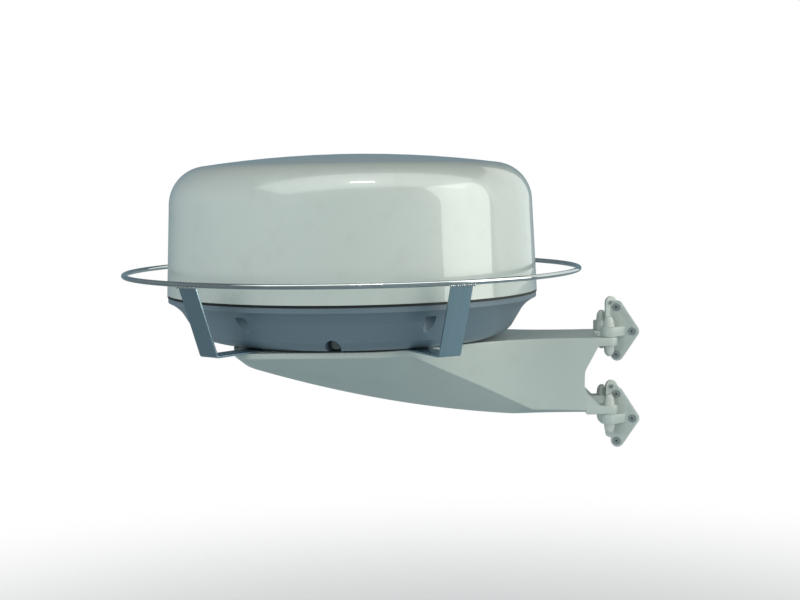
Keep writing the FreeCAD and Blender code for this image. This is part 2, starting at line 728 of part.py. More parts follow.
def make_hinges():
    bolts = []
    nuts = []
    washers = []
    caps = []
    for name, side, level in hinge_places():
        x = pin_x
        y = pin_y * side
        ear_far = plate_top + foot_gap + ear_thick + 0.1
        lug_far = LUG_BOTTOM
        top = ear_far if level > 0 else -lug_far
        bottom = lug_far if level > 0 else -ear_far
        shank = cylinder(name + "_shank", pin_radius, top - bottom + 6.2, x, y, bottom - 6.2)
        head = hexagon(name + "_head", 13.0, 5.3, x, y, top)
        bolts.append(fuse(name + "_bolt", [shank, head]))
        hexes = hexagon(name + "_nut_hex", 13.0, 6.0, x, y, bottom - 6.0)
        way = cylinder(name + "_nut_way", pin_radius + pin_fit, 20.0, x, y, bottom - 10)
        nuts.append(cut(name + "_nut", hexes, [way]))
        start = plate_top + 0.1 if level > 0 else -(plate_top + foot_gap - 0.1)
        disc = cylinder(name + "_disc", 11.0, foot_gap - 0.2, x, y, start)
        way = cylinder(name + "_disc_way", pin_radius + 0.1, 10.0, x, y, start - 4)
        washers.append(cut(name + "_washer", disc, [way]))
        caps.append(cap_shape(name + "_top_cap", x, y, top, True))
        caps.append(cap_shape(name + "_bottom_cap", x, y, bottom, False))
    keep(group("bolt_group", bolts), "hinge_bolts")
    keep(group("hinge_nut_group", nuts), "hinge_nuts")
    keep(group("hinge_washer_group", washers), "hinge_washers")
    keep(group("cap_group", caps), "hinge_caps")


# ---------------------------------------------------------------- feet

def foot_placement(side, level):
    """The foot is one pattern, turned over for the far side."""
    z = (plate_top.value + foot_gap.value + ear_thick.value / 2) * level
    turn = FreeCAD.Rotation(FreeCAD.Vector(0, 0, 1), -foot_angle.value * side)
    if side > 0:
        turn = turn.multiply(FreeCAD.Rotation(FreeCAD.Vector(1, 0, 0), 180))
    return FreeCAD.Placement(FreeCAD.Vector(pin_x.value, pin_y.value * side, z), turn)


def corner_hull(centres, radius):
    """Corners and arcs of the outline that wraps equal circles, listed anticlockwise."""
    corners = []
    arcs = {}
    for index, centre in enumerate(centres):
        before = centres[index - 1]
        after = centres[(index + 1) % len(centres)]
        for other, sign in ((before, 1.0), (after, -1.0)):
            dx = (number(centre[0]) - number(other[0])) * sign
            dy = (number(centre[1]) - number(other[1])) * sign
            run = math.hypot(dx, dy)
            corners.append((centre[0] + radius * (dy / run), centre[1] - radius * (dx / run)))
        arcs[2 * index] = radius
    return corners, arcs


RIVET_PLACES = ((rivet_near, -rivet_rise), (rivet_near, rivet_rise), (rivet_far, 0.0))


def make_foot(name, side, level):
    corners, arcs = corner_hull(RIVET_PLACES, foot_corner)
    plate = padded(name + "_plate", "YZ_Plane", corners, foot_plate, arcs, height=foot_face)
    half = ear_thick / 2
    end = cylinder(name + "_end", ear_radius, ear_thick, 0.0, 0.0, -half)
    ear = padded(
        name + "_ear",
        "XY_Plane",
        [(-6.4, -12.45), (foot_face + 1, -23.0), (foot_face + 1, 1.5), (8.0, 11.48), (-4.0, 13.4)],
        ear_thick,
        middle=True,
    )
    holes = [cylinder(name + "_bore", pin_radius + pin_fit, 40.0, 0.0, 0.0, -20.0)]
    for index, (y, z) in enumerate(RIVET_PLACES):
        label = "%s_rivet_way_%d" % (name, index)
        holes.append(cylinder(label, rivet_swell + 0.05, 20.0, 8.0, y, z, (1, 0, 0)))
    holes.append(box(name + "_bore_face", 10.0, 60.0, 60.0, foot_face + foot_plate + 5, 0.0, -30.0))
    foot = cut(name + "_foot", fuse(name + "_solid", [plate, end, ear]), holes)
    foot.Placement = foot_placement(side, level)
    keep(foot, "foot_" + name)


def make_rivets(name, side, level):
    rivets = []
    outward = (1, 0, 0)
    for index, (y, z) in enumerate(RIVET_PLACES):
        label = "%s_rivet_%d" % (name, index)
        plate_face = foot_face + foot_plate
        shank = cylinder(label + "_shank", rivet_radius, rivet_length + 2, plate_face - 2, y, z, outward)
        filling = cylinder(label + "_filling", rivet_swell, foot_plate, foot_face, y, z, outward)
        flange = cylinder(label + "_flange", 6.4, 1.6, foot_face - 1.6, y, z, outward)
        crown = cylinder(label + "_crown", 4.4, 1.2, foot_face - 2.8, y, z, outward)
        hollow = cylinder(label + "_hollow", 1.9, 7.0, foot_face - 4.0, y, z, outward)
        rivets.append(cut(label, fuse(label + "_solid", [shank, filling, flange, crown]), [hollow]))
    fixed = group(name + "_rivet_group", rivets)
    fixed.Placement = foot_placement(side, level)
    keep(fixed, "rivets_" + name)


# ---------------------------------------------------------------- scanner, fixed parts

def make_chassis():
    plate = box("chassis_sheet", 284.0, 184.0, chassis_thick, 0.0, 0.0, chassis_z)
    holes = [cylinder("chassis_middle", 13.0, 10.0, 0.0, 0.0, chassis_z - 3)]
    holes.append(box("waveguide_slot", 14.0, 26.0, 10.0, -90.0, 0.0, chassis_z - 3))
    screws = []
    for index, (side_x, side_y) in enumerate(CORNERS):
        x = 128.0 * side_x
        y = 78.0 * side_y
        holes.append(cylinder("chassis_way_%d" % index, 2.4, 10.0, x, y, chassis_z - 3))
        head = cylinder("chassis_head_%d" % index, 4.0, 3.0, x, y, CHASSIS_TOP)
        shank = cylinder("chassis_shank_%d" % index, 2.0, 14.0, x, y, CHASSIS_TOP - 14)
        screws.append(fuse("chassis_screw_%d" % index, [head, shank]))
    keep_on_dome(cut("chassis", plate, holes), "chassis_plate")
    keep_on_dome(group("chassis_screw_group", screws), "chassis_screws")


def make_bearing_tower():
    seat = bearing_width + 1
    outside = 26.0
    corners = [
        (shaft_radius + 3, CHASSIS_TOP),
        (32.0, CHASSIS_TOP),
        (32.0, CHASSIS_TOP + 5),
        (outside, CHASSIS_TOP + 5),
        (outside, housing_top),
        (bearing_radius, housing_top),
        (bearing_radius, housing_top - seat),
        (shaft_radius + 3, housing_top - seat),
        (shaft_radius + 3, CHASSIS_TOP + 12 + seat),
        (bearing_radius, CHASSIS_TOP + 12 + seat),
        (bearing_radius, CHASSIS_TOP + 12),
        (shaft_radius + 3, CHASSIS_TOP + 12),
    ]
    keep_on_dome(group("housing_group", [turned("housing", corners)]), "bearing_housing")
    rings = []
    for name, z in (("low", CHASSIS_TOP + 12.5), ("high", housing_top - bearing_width)):
        ring = cylinder(name + "_ring", bearing_radius - 0.05, bearing_width, 0.0, 0.0, z)
        way = cylinder(name + "_ring_way", shaft_radius + 0.05, 30.0, 0.0, 0.0, z - 10)
        rings.append(cut(name + "_bearing", ring, [way]))
    keep_on_dome(group("bearing_group", rings), "shaft_bearings")

    flange = cylinder("joint_flange", 12.0, 6.0, 0.0, 0.0, CHASSIS_TOP - 4)
    probe = cylinder("joint_probe", 5.2, 60.0, 0.0, 0.0, CHASSIS_TOP - 4)
    keep_on_dome(fuse("joint", [flange, probe]), "rotary_joint")


def make_waveguide():
    low = chassis_z - 14
    run = box("guide_run", 114.0, 23.0, 10.0, -45.0, 0.0, low)
    riser = box("guide_riser", 11.0, 23.0, 20.0, -90.0, 0.0, low)
    stub = cylinder("guide_stub", 11.0, 12.8, 0.0, 0.0, low)
    keep_on_dome(fuse("waveguide_solid", [run, riser, stub]), "waveguide")


CASE_X = -91.0


def make_transceiver():
    walls = box("case_block", 90.0, 144.0, 56.0, CASE_X, 0.0, CHASSIS_TOP)
    room = box("case_room", 84.0, 138.0, 56.0, CASE_X, 0.0, CHASSIS_TOP + 3)
    entry = box("case_entry", 12.0, 24.0, 10.0, -90.0, 0.0, CHASSIS_TOP - 3)
    corner_posts = []
    lid_ways = []
    screws = []
    lid_z = CHASSIS_TOP + 56
    for index, (side_x, side_y) in enumerate(CORNERS):
        x = CASE_X + 38.0 * side_x
        y = 65.0 * side_y
        corner_posts.append(cylinder("case_post_%d" % index, 5.0, 56.0, x, y, CHASSIS_TOP))
        lid_ways.append(cylinder("lid_way_%d" % index, 1.8, 30.0, x, y, lid_z - 15))
        head = cylinder("lid_head_%d" % index, 3.0, 2.0, x, y, lid_z + 2.5)
        shank = cylinder("lid_shank_%d" % index, 1.5, 12.0, x, y, lid_z - 9.5)
        screws.append(fuse("lid_screw_%d" % index, [head, shank]))
    hollow = cut("case_walls", walls, [room, entry])
    case = cut("case", fuse("case_posted", [hollow] + corner_posts), lid_ways)
    keep_on_dome(case, "transceiver_case")
    sheet_metal = box("lid_sheet", 90.0, 144.0, 2.5, CASE_X, 0.0, lid_z)
    ways = [
        cylinder("lid_clear_%d" % index, 1.9, 20.0, CASE_X + 38.0 * sx, 65.0 * sy, lid_z - 5)
        for index, (sx, sy) in enumerate(CORNERS)
    ]
    keep_on_dome(cut("lid", sheet_metal, ways), "transceiver_lid")
    keep_on_dome(group("lid_screw_group", screws), "lid_screws")

    floor = CHASSIS_TOP + 3.2
    anode = cylinder("anode", 13.0, 26.0, CASE_X, 39.0, floor + 19, (0, 1, 0))
    stem = cylinder("cathode_stem", 6.0, 10.0, CASE_X, 29.5, floor + 19, (0, 1, 0))
    keep_on_dome(fuse("magnetron_solid", [anode, stem]), "magnetron")
    yoke = box("yoke", 56.0, 24.0, 6.0, CASE_X, 52.0, floor)
    poles = [box("pole_%d" % side, 12.0, 24.0, 34.0, CASE_X + 20.5 * side, 52.0, floor) for side in (-1, 1)]
    keep_on_dome(fuse("magnet_solid", [yoke] + poles), "magnetron_magnet")
    block = box("circulator_block", 40.0, 36.0, 22.0, CASE_X, -1.0, floor)
    puck = cylinder("circulator_puck", 14.0, 4.0, CASE_X, -1.0, floor + 22)
    keep_on_dome(fuse("circulator_solid", [block, puck]), "circulator")
    board = box("modulator_sheet", 62.0, 44.0, 1.6, CASE_X, -44.0, floor + 10)
    coils = [
        cylinder("pulse_coil", 9.0, 16.0, CASE_X - 20, -44.0, floor + 11.6),
        box("driver_block", 24.0, 20.0, 12.0, CASE_X + 18, -44.0, floor + 11.6),
        cylinder("board_leg_a", 3.0, 10.0, CASE_X - 26, -59.0, floor),
        cylinder("board_leg_b", 3.0, 10.0, CASE_X + 26, -59.0, floor),
        cylinder("board_leg_c", 3.0, 10.0, CASE_X - 26, -30.0, floor),
        cylinder("board_leg_d", 3.0, 10.0, CASE_X + 26, -30.0, floor),
    ]
    keep_on_dome(fuse("modulator_solid", [board] + coils), "modulator_board")


BOARD_X = 92.0


def make_main_board():
    level = CHASSIS_TOP + 8
    board = box("board_sheet", 84.0, 150.0, 1.6, BOARD_X, 0.0, level)
    ways = []
    legs = []
    for index, (side_x, side_y) in enumerate(CORNERS):
        x = BOARD_X + 36.0 * side_x
        y = 60.0 * side_y
        ways.append(cylinder("board_way_%d" % index, 1.7, 10.0, x, y, level - 4))
        legs.append(cylinder("standoff_%d" % index, 3.2, 8.0, x, y, CHASSIS_TOP))
    keep_on_dome(cut("board", board, ways), "main_board")
    keep_on_dome(group("standoff_group", legs), "board_standoffs")
    top = level + 1.6
    parts = [
        box("processor", 24.0, 24.0, 2.6, BOARD_X + 4, 12.0, top),
        box("memory", 10.0, 14.0, 1.4, BOARD_X + 28, 12.0, top),
        box("power_coil", 16.0, 16.0, 12.0, BOARD_X - 14, -40.0, top),
        box("connector_a", 12.0, 34.0, 12.0, BOARD_X + 34, -22.0, top),
        box("connector_b", 22.0, 10.0, 10.0, BOARD_X + 4, 66.0, top),
        cylinder("capacitor_a", 6.0, 16.0, BOARD_X + 10, -58.0, top),
        cylinder("capacitor_b", 6.0, 16.0, BOARD_X - 6, -62.0, top),
    ]
    keep_on_dome(group("component_group", parts), "board_components")


MOTOR_TOP = 165.0


def make_motor():
    case = box("motor_case", 42.0, 42.0, MOTOR_TOP - CHASSIS_TOP, 0.0, GEAR_CENTRES, CHASSIS_TOP)
    boss = cylinder("motor_boss", 11.0, 2.0, 0.0, GEAR_CENTRES, MOTOR_TOP)
    way = cylinder("motor_way", 2.56, 40.0, 0.0, GEAR_CENTRES, MOTOR_TOP - 30)
    keep_on_dome(cut("motor", fuse("motor_solid", [case, boss]), [way]), "drive_motor")
    keep_on_dome(
        group("spindle_group", [cylinder("spindle", 2.5, 52.0, 0.0, GEAR_CENTRES, MOTOR_TOP - 27)]),
        "motor_shaft",
    )
    post = box("sensor_post", 12.0, 8.0, 64.0, 0.0, -40.0, CHASSIS_TOP)
    head = box("sensor_head", 16.0, 6.0, 5.0, 0.0, -40.0, CHASSIS_TOP + 64)
    keep_on_dome(fuse("sensor", [post, head]), "heading_sensor")


# ---------------------------------------------------------------- scanner, turning parts

def gear_shape(teeth, module, bore, width, thinning, shift):
    """Spur gear with 20 degree involute teeth; thinning is taken off each tooth's width."""
    pressure = math.radians(20)
    pitch = module * teeth / 2
    base = pitch * math.cos(pressure)
    tip = pitch + module
    root = pitch - 1.25 * module
    half = math.pi / (2 * teeth) - thinning / (2 * pitch) + math.tan(pressure) - pressure
    flank = []
    for step in range(7):
        radius = max(base, root) + (tip - max(base, root)) * step / 6
        roll = math.acos(min(1.0, base / radius))
        flank.append((radius, half - (math.tan(roll) - roll)))
    if root < base:
        flank = [(root, half)] + flank
    points = []
    for tooth in range(teeth):
        middle = 2 * math.pi * (tooth + shift) / teeth
        sides = [(radius, middle - angle) for radius, angle in flank]
        sides += [(radius, middle + angle) for radius, angle in reversed(flank)]
        points += [FreeCAD.Vector(r * math.cos(a), r * math.sin(a), 0) for r, a in sides]
    blank = Part.Face(Part.makePolygon(points + points[:1])).extrude(FreeCAD.Vector(0, 0, width))
    return blank.cut(Part.makeCylinder(bore, width * 3, FreeCAD.Vector(0, 0, -width)))


def make_gears():
    module = sheet.get("gear_module")
    width = sheet.get("gear_width")
    teeth = int(sheet.get("gear_teeth"))
    wheel = doc.addObject("Part::Feature", "wheel")
    wheel.Shape = gear_shape(teeth, module, shaft_radius.value + 0.05, width, 0.12, 0.0)
    wheel.Placement.Base = FreeCAD.Vector(0, 0, gear_z.value)
    slots = [
        cylinder("gear_light_%d" % index, 8.0, 20.0, x, y, gear_z - 5)
        for index, (x, y) in enumerate(on_circle(27.0, 6, 15.0))
    ]
    keep_on_dome(cut("wheel_lightened", wheel, slots), "drive_gear")
    # A gap of the pinion faces the wheel, whose tooth lies on the line of centres.
    count = int(sheet.get("pinion_teeth"))
    pinion = doc.addObject("Part::Feature", "pinion")
    pinion.Shape = gear_shape(count, module, 2.55, width + 4, 0.12, 0.5 + count * 0.75)
    pinion.Placement.Base = FreeCAD.Vector(0, GEAR_CENTRES.value, gear_z.value - 2)
    keep_on_dome(group("pinion_group", [pinion]), "motor_pinion")


def make_antenna():
    flange_z = array_z - 12
    tube = cylinder("shaft_tube", shaft_radius, flange_z + 4 - CHASSIS_TOP - 5, 0.0, 0.0, CHASSIS_TOP + 5)
    flange = cylinder("shaft_flange", 24.0, 4.0, 0.0, 0.0, flange_z)
    collar = cylinder("shaft_collar", 14.0, flange_z - gear_z - gear_width, 0.0, 0.0, gear_z + gear_width)
    way = cylinder("shaft_way", shaft_bore, 200.0, 0.0, 0.0, CHASSIS_TOP - 20)
    keep_on_dome(cut("shaft", fuse("shaft_solid", [tube, flange, collar]), [way]), "antenna_shaft")

    seat = box("holder_seat", 120.0, 44.0, 4.0, 0.0, 6.0, flange_z + 4)
    back = box("holder_back", 150.0, 4.0, 52.0, 0.0, 30.0, flange_z + 4)
    keep_on_dome(fuse("holder", [seat, back]), "antenna_bracket")

    depth = 20.0
    block = box("array_block", array_length, depth, array_height, 0.0, 18.0, array_z)
    room = box("array_room", array_length - 4, depth, array_height - 4, 0.0, 14.0, array_z + 2)
    keep_on_dome(cut("array", block, [room]), "array_housing")
    board = box("array_sheet", array_length - 5, 1.6, array_height - 5, 0.0, 9.5, array_z + 2.5)
    keep_on_dome(group("array_board_group", [board]), "array_board")
    patches = []
    for column in range(22):
        for line in range(2):
            x = -252.0 + 24.0 * column
            z = array_z + 17 + 26.0 * line
            patches.append(box("patch_%d_%d" % (column, line), 11.0, 0.4, 9.0, x, 8.5, z - 4.5))
    keep_on_dome(group("patch_group", patches), "array_patches")
    magnet = cylinder("magnet", 3.0, 4.0, 0.0, -39.0, gear_z - 4)
    keep_on_dome(group("magnet_group", [magnet]), "heading_magnet")


make_cap()
make_base()
make_seal()
make_cap_screws()
make_base_fittings()
make_studs()
make_guard()
make_bracket()
make_hinges()
for hinge_name, hinge_side, hinge_level in hinge_places():
    make_foot(hinge_name, hinge_side, hinge_level)
    make_rivets(hinge_name, hinge_side, hinge_level)
make_chassis()
make_bearing_tower()
make_waveguide()
make_transceiver()
make_main_board()
make_motor()
make_gears()
make_antenna()
doc.recompute()

for obj in doc.Objects:
    if "Invalid" in obj.State or "Error" in obj.State:
        raise RuntimeError("%s did not build: %s" % (obj.Name, obj.State))
for node in nodes:
    shape = node.Shape
    if shape.isNull() or not shape.isValid():
        raise RuntimeError("%s has no valid shape" % node.Label)
    shape.exportStep("parts/%s.step" % node.Label)
    bounds = shape.BoundBox
    print(
        "%-20s solids %2d  volume %11.1f  x %7.1f %7.1f  y %7.1f %7.1f  z %7.1f %7.1f"
        % (
            node.Label, len(shape.Solids), shape.Volume, bounds.XMin, bounds.XMax,
            bounds.YMin, bounds.YMax, bounds.ZMin, bounds.ZMax,
        )
    )
print("nodes", len(nodes))
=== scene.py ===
import json
import math

import bmesh
import bpy
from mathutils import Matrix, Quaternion, Vector


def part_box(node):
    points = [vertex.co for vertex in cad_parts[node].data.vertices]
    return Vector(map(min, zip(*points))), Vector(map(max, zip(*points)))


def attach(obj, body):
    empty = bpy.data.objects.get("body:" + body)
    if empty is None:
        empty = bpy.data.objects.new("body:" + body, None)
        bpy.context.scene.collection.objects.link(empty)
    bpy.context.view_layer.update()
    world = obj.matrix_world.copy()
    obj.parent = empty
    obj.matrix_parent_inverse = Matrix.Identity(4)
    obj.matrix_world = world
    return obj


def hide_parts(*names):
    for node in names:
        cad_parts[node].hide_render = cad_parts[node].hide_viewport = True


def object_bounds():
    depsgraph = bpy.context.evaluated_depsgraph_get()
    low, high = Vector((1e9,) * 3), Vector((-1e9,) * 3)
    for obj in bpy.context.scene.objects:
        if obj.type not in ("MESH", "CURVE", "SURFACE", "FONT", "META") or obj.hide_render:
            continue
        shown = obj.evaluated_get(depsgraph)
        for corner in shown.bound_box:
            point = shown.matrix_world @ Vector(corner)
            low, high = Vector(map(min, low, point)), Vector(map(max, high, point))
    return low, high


# Radar dome antenna on a cast mast bracket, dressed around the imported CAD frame.
# Metres, in the CAD frame: +Z up, the arm runs towards -X, -Y is the near side.

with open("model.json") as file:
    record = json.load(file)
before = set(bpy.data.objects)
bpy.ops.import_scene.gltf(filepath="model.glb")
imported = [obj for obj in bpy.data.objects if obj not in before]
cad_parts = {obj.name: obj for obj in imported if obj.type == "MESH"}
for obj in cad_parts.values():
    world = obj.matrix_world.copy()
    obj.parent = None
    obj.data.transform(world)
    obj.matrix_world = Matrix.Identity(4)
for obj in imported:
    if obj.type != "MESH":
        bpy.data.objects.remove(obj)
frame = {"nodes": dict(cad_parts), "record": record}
cad_low, cad_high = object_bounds()
nodes = frame["nodes"]

# ---------------------------------------------------------------- places

CAP_LOW, CAP_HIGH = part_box("radome_cap")
RING_LOW, RING_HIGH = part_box("guard_ring")
DOME_X = (RING_LOW.x + RING_HIGH.x) / 2
DOME_TURN = math.radians(-4.1)
STRAP_ANGLE = math.radians(57.5)
RING_ROD = (RING_HIGH.z - RING_LOW.z) / 2
RING_RADIUS = (RING_HIGH.x - RING_LOW.x) / 2 - RING_ROD
RING_Z = (RING_HIGH.z + RING_LOW.z) / 2
DOME_CENTRE = Vector((DOME_X, 0.0, (CAP_LOW.z + CAP_HIGH.z) / 2))
FLOOR_Z = cad_low.z - 0.75


# ---------------------------------------------------------------- camera

CAMERA_PLACE = Vector((-0.3145, -2.3477, 0.3205))
CAMERA_YAW = -0.0303
CAMERA_PITCH = 0.0842
CAMERA_ROLL = -0.016
CAMERA_LENS = 63.72


def make_camera():
    """A long lens a little above the guard, level with the dome's wall."""
    data = bpy.data.cameras.new("view_camera")
    data.sensor_width = 36.0
    data.lens = CAMERA_LENS
    camera = bpy.data.objects.new("view_camera", data)
    flat = math.cos(CAMERA_PITCH)
    forward = Vector(
        (math.sin(CAMERA_YAW) * flat, math.cos(CAMERA_YAW) * flat, -math.sin(CAMERA_PITCH))
    )
    camera.rotation_mode = "QUATERNION"
    turn = forward.to_track_quat("-Z", "Y") @ Quaternion((0, 0, 1), CAMERA_ROLL)
    camera.rotation_quaternion = turn
    camera.location = CAMERA_PLACE
    bpy.context.scene.collection.objects.link(camera)
    bpy.context.scene.camera = camera


# ---------------------------------------------------------------- node helpers

class Graph:
    """Short calls for building one material's node tree."""

    def __init__(self, tree):
        self.tree = tree

    def add(self, kind, **settings):
        node = self.tree.nodes.new("ShaderNode" + kind)
        for key, value in settings.items():
            if key in node.bl_rna.properties:
                setattr(node, key, value)
            else:
                node.inputs[key.replace("_", " ")].default_value = value
        return node

    def link(self, start, end):
        self.tree.links.new(start, end)

    def position(self, turn=0.0, scale=(1.0, 1.0, 1.0)):
        """Object coordinates in metres, turned about Z and then scaled."""
        place = self.add("TexCoord").outputs["Object"]
        if turn:
            turned = self.add("Mapping", vector_type="POINT")
            turned.inputs["Rotation"].default_value = (0.0, 0.0, turn)
            self.link(place, turned.inputs["Vector"])
            place = turned.outputs["Vector"]
        scaled = self.add("Mapping", vector_type="POINT")
        scaled.inputs["Scale"].default_value = scale
        self.link(place, scaled.inputs["Vector"])
        return scaled.outputs["Vector"]

    def noise(self, vector, scale, detail=3.0, roughness=0.5):
        node = self.add("TexNoise", Scale=scale, Detail=detail, Roughness=roughness)
        self.link(vector, node.inputs["Vector"])
        return node.outputs["Fac"]

    def span(self, value, low, high, to_low, to_high):
        node = self.add("MapRange")
        node.inputs["From Min"].default_value = low
        node.inputs["From Max"].default_value = high
        node.inputs["To Min"].default_value = to_low
        node.inputs["To Max"].default_value = to_high
        self.link(value, node.inputs["Value"])
        return node.outputs["Result"]

    def math(self, operation, first, second):
        node = self.add("Math", operation=operation)
        for index, value in enumerate((first, second)):
            if isinstance(value, (int, float)):
                node.inputs[index].default_value = value
            else:
                self.link(value, node.inputs[index])
        return node.outputs[0]

    def mix(self, factor, first, second):
        node = self.add("Mix", data_type="RGBA")
        if isinstance(factor, (int, float)):
            node.inputs["Factor"].default_value = factor
        else:
            self.link(factor, node.inputs["Factor"])
        for name, colour in (("A", first), ("B", second)):
            socket = [s for s in node.inputs if s.name == name and s.type == "RGBA"][0]
            if isinstance(colour, tuple):
                socket.default_value = (*colour, 1.0)
            else:
                self.link(colour, socket)
        return [s for s in node.outputs if s.type == "RGBA"][0]

    def bump(self, height, strength, distance):
        node = self.add("Bump")
        node.inputs["Strength"].default_value = strength
        node.inputs["Distance"].default_value = distance
        self.link(height, node.inputs["Height"])
        return node.outputs["Normal"]


def new_material(name, **sockets):
    """A material with one principled shader, its even values set on the shader's own sockets."""
    material = bpy.data.materials.new(name)
    material.use_nodes = True
    tree = material.node_tree
    shader = tree.nodes["Principled BSDF"]
    for key, value in sockets.items():
        shader.inputs[key.replace("_", " ")].default_value = value
    return material, Graph(tree), shader


def shade(colour, factor):
    return tuple(channel * factor for channel in colour)


# ---------------------------------------------------------------- materials

def painted(name, colour, dusty, rough, peel_size, peel_depth, coat, coat_rough):
    """Moulded or painted skin: slow colour drift, faint specks, soft orange peel and handling marks."""
    material, graph, shader = new_material(name, IOR=1.5, Coat_Weight=coat, Coat_Roughness=coat_rough)
    place = graph.position()
    drift = graph.noise(place, 4.0, 3.0)
    cloudy = graph.span(drift, 0.35, 0.65, 0.0, 1.0)
    base = graph.mix(cloudy, shade(colour, 0.975), shade(colour, 1.02))
    grime = graph.noise(place, 23.0, 6.0, 0.62)
    grimy = graph.span(grime, 0.52, 0.78, 0.0, 0.38)
    base = graph.mix(grimy, base, dusty)
    speck = graph.noise(place, 900.0, 2.0, 0.7)
    specked = graph.span(speck, 0.66, 0.74, 0.0, 0.35)
    base = graph.mix(specked, base, shade(dusty, 0.8))
    graph.link(base, shader.inputs["Base Color"])
    smear = graph.noise(graph.position(scale=(1.0, 1.0, 0.35)), 11.0, 4.0, 0.6)
    graph.link(graph.span(smear, 0.3, 0.7, rough * 0.85, rough * 1.2), shader.inputs["Roughness"])
    peel = graph.noise(place, 1.0 / peel_size, 2.0, 0.4)
    graph.link(graph.bump(peel, 0.35, peel_depth), shader.inputs["Normal"])
    return material


def brushed(name, colour, rough, turn):
    """Rolled and brushed sheet: long fine grain along the bar, faint scratches and a drifting shine."""
    material, graph, shader = new_material(name, Metallic=1.0)
    along = graph.position(turn, (3.0, 2600.0, 3.0))
    lines = graph.noise(along, 1.0, 4.0, 0.65)
    coarse = graph.noise(graph.position(turn, (1.5, 420.0, 1.5)), 1.0, 3.0, 0.6)
    drift = graph.noise(graph.position(), 9.0, 3.0)
    base = graph.mix(graph.span(lines, 0.3, 0.7, 0.0, 1.0), shade(colour, 0.9), shade(colour, 1.06))
    base = graph.mix(graph.span(drift, 0.35, 0.7, 0.0, 0.5), base, shade(colour, 0.82))
    graph.link(base, shader.inputs["Base Color"])
    streaked = graph.span(coarse, 0.3, 0.7, -0.05, 0.06)
    patchy = graph.span(drift, 0.3, 0.7, rough * 0.85, rough * 1.2)
    shine = graph.math("ADD", streaked, patchy)
    graph.link(shine, shader.inputs["Roughness"])
    height = graph.math("ADD", lines, coarse)
    graph.link(graph.bump(height, 0.25, 0.00004), shader.inputs["Normal"])
    return material


def metal(name, colour, rough, grain, depth, spread=0.25, metallic=1.0):
    """Plain metal: fine tool or casting texture, colour drift and duller patches."""
    material, graph, shader = new_material(name, Metallic=metallic)
    place = graph.position()
    drift = graph.noise(place, 30.0, 4.0, 0.6)
    base = graph.mix(graph.span(drift, 0.3, 0.7, 0.0, 1.0), shade(colour, 0.86), shade(colour, 1.05))
    graph.link(base, shader.inputs["Base Color"])
    patch = graph.noise(place, 75.0, 5.0, 0.65)
    low, high = rough * (1 - spread), rough * (1 + spread)
    graph.link(graph.span(patch, 0.3, 0.7, low, high), shader.inputs["Roughness"])
    fine = graph.noise(place, grain, 3.0, 0.55)
    graph.link(graph.bump(fine, 0.3, depth), shader.inputs["Normal"])
    return material


def polymer(name, colour, rough, grain, depth, soft=0.0):
    """Moulded plastic or rubber: fine mould texture, a little colour drift and rubbed patches."""
    material, graph, shader = new_material(name, IOR=1.46)
    shader.inputs["Subsurface Weight"].default_value = soft
    shader.inputs["Subsurface Radius"].default_value = (0.002, 0.0016, 0.0012)
    place = graph.position()
    drift = graph.noise(place, 40.0, 4.0, 0.6)
    base = graph.mix(graph.span(drift, 0.3, 0.7, 0.0, 1.0), shade(colour, 0.88), shade(colour, 1.06))
    graph.link(base, shader.inputs["Base Color"])
    rub = graph.noise(place, 120.0, 4.0, 0.6)
    graph.link(graph.span(rub, 0.3, 0.7, rough * 0.82, rough * 1.18), shader.inputs["Roughness"])
    fine = graph.noise(place, grain, 3.0, 0.5)
    graph.link(graph.bump(fine, 0.3, depth), shader.inputs["Normal"])
    return material


def board(name):
    """Green solder mask over faint copper tracks on a fibre weave."""
    material, graph, shader = new_material(name, IOR=1.5, Coat_Weight=0.5, Coat_Roughness=0.15)
    place = graph.position()
    cells = graph.add("TexVoronoi", distance="CHEBYCHEV", Scale=160.0)
    graph.link(place, cells.inputs["Vector"])
    tracks = graph.span(cells.outputs["Distance"], 0.42, 0.5, 0.0, 1.0)
    base = graph.mix(tracks, (0.012, 0.085, 0.035), (0.03, 0.16, 0.07))
    graph.link(base, shader.inputs["Base Color"])
    weave = graph.noise(place, 700.0, 2.0)
    graph.link(graph.span(weave, 0.3, 0.7, 0.3, 0.45), shader.inputs["Roughness"])
    graph.link(graph.bump(tracks, 0.4, 0.00008), shader.inputs["Normal"])
    return material


